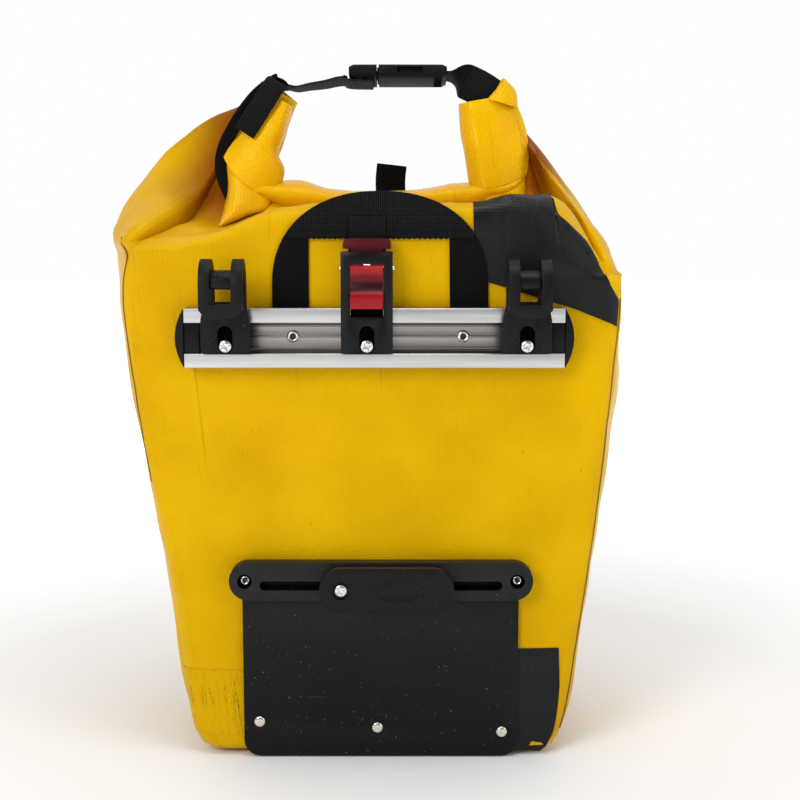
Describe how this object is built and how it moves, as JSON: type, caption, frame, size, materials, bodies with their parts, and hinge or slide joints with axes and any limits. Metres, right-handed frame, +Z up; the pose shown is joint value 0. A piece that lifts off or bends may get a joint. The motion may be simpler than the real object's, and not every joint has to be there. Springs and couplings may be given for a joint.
{
  "type": "bicycle pannier bag",
  "caption": "Roll-top waterproof bicycle pannier with a rack rail, sliding tube hooks, a sprung catch, a carry handle, a lower anchor foot and a side-release buckle.",
  "frame": {"origin": "on the surface that the bag stands on, in the flat middle of its base", "axes": "+X along the rack rail, -Y towards the bicycle rack, +Z up"},
  "size_m": [0.36, 0.214, 0.4848],
  "materials": {
    "yellow_fabric": "semi-gloss PVC-coated polyester",
    "black_fabric": "semi-gloss PVC-coated polyester",
    "webbing": "woven polypropylene webbing",
    "black_plastic": "moulded nylon with a fine texture",
    "gloss_black_plastic": "polished sheet",
    "red_plastic": "moulded nylon",
    "aluminium": "extruded, brushed along its length",
    "plated_steel": "bright nickel or zinc plate"
  },
  "bodies": {
    "bag": {"base_panel": "yellow_fabric", "back_panel": "yellow_fabric", "side_panel_left": "yellow_fabric", "side_panel_right": "yellow_fabric", "front_panel": "yellow_fabric", "shoulder_back": "yellow_fabric", "shoulder_front": "yellow_fabric", "rolled_collar": "yellow_fabric", "patch_top": "black_fabric", "patch_bottom_right": "black_fabric", "stiffener_strip": "webbing", "webbing_tab": "webbing", "carry_handle": "webbing", "release_strap": "webbing", "strap_left": "webbing", "strap_right": "webbing", "keeper_strap": "webbing", "back_board": "black_plastic", "rail_cap_left": "black_plastic", "rail_cap_right": "black_plastic", "lower_bar": "black_plastic", "buckle_female": "black_plastic", "scuff_plate": "gloss_black_plastic", "rail": "aluminium", "rail_rivet_left": "plated_steel", "rail_rivet_center": "plated_steel", "rail_rivet_right": "plated_steel", "rail_washer_left": "plated_steel", "rail_washer_center": "plated_steel", "rail_washer_right": "plated_steel", "scuff_rivet_left": "plated_steel", "scuff_rivet_center": "plated_steel", "scuff_rivet_right": "plated_steel", "scuff_washer_left": "plated_steel", "scuff_washer_center": "plated_steel", "scuff_washer_right": "plated_steel", "bar_rivet_left": "plated_steel", "bar_rivet_right": "plated_steel", "bar_washer_left": "plated_steel", "bar_washer_right": "plated_steel"},
    "hook_left": {"hook_left": "black_plastic", "hook_insert_left": "black_plastic", "hook_left_screw": "plated_steel", "hook_left_nut": "plated_steel"},
    "hook_right": {"hook_right": "black_plastic", "hook_insert_right": "black_plastic", "hook_right_screw": "plated_steel", "hook_right_nut": "plated_steel"},
    "catch": {"catch_housing": "black_plastic", "catch_pin": "plated_steel", "catch_spring": "plated_steel", "catch_screw": "plated_steel", "catch_nut": "plated_steel"},
    "catch_lever": {"catch_lever": "red_plastic"},
    "foot_carriage": {"foot_screw": "plated_steel", "foot_nut": "plated_steel"},
    "foot": {"foot": "black_plastic"},
    "buckle_male": {"buckle_male": "black_plastic"},
    "buckle_arm_front": {"buckle_arm_front": "black_plastic"},
    "buckle_arm_rear": {"buckle_arm_rear": "black_plastic"}
  },
  "joints": [
    {"name": "hook_left_slide", "type": "slide", "parent": "bag", "child": "hook_left", "axis": [1, 0, 0], "range_m": [-0.01, 0.045]},
    {"name": "hook_right_slide", "type": "slide", "parent": "bag", "child": "hook_right", "axis": [1, 0, 0], "range_m": [-0.045, 0.007]},
    {"name": "catch_slide", "type": "slide", "parent": "bag", "child": "catch", "axis": [1, 0, 0], "range_m": [-0.008, 0.008]},
    {"name": "catch_lever_pivot", "type": "hinge", "parent": "catch", "child": "catch_lever", "pos_m": [-0.005, -0.0856, 0.342], "axis": [1, 0, 0], "range_deg": [0, 18], "stiffness_Nm_per_rad": 0.05},
    {"name": "foot_slide", "type": "slide", "parent": "bag", "child": "foot_carriage", "axis": [1, 0, 0], "range_m": [-0.05, 0.1]},
    {"name": "foot_swivel", "type": "hinge", "parent": "foot_carriage", "child": "foot", "pos_m": [-0.023, -0.093, 0.1255], "axis": [0, 1, 0], "range_deg": [-90, 90]},
    {"name": "buckle_release", "type": "slide", "parent": "bag", "child": "buckle_male", "axis": [-1, 0, 0], "range_m": [0, 0.024], "deforming": ["strap_left"]},
    {"name": "buckle_arm_front_press", "type": "hinge", "parent": "buckle_male", "child": "buckle_arm_front", "pos_m": [0.0009, -0.00676, 0.47629], "axis": [0, 0.2079, 0.9781], "range_deg": [0, 5], "stiffness_Nm_per_rad": 0.02},
    {"name": "buckle_arm_rear_press", "type": "hinge", "parent": "buckle_male", "child": "buckle_arm_rear", "pos_m": [0.0009, 0.01476, 0.47171], "axis": [0, 0.2079, 0.9781], "range_deg": [-5, 0], "stiffness_Nm_per_rad": 0.02}
  ]
}
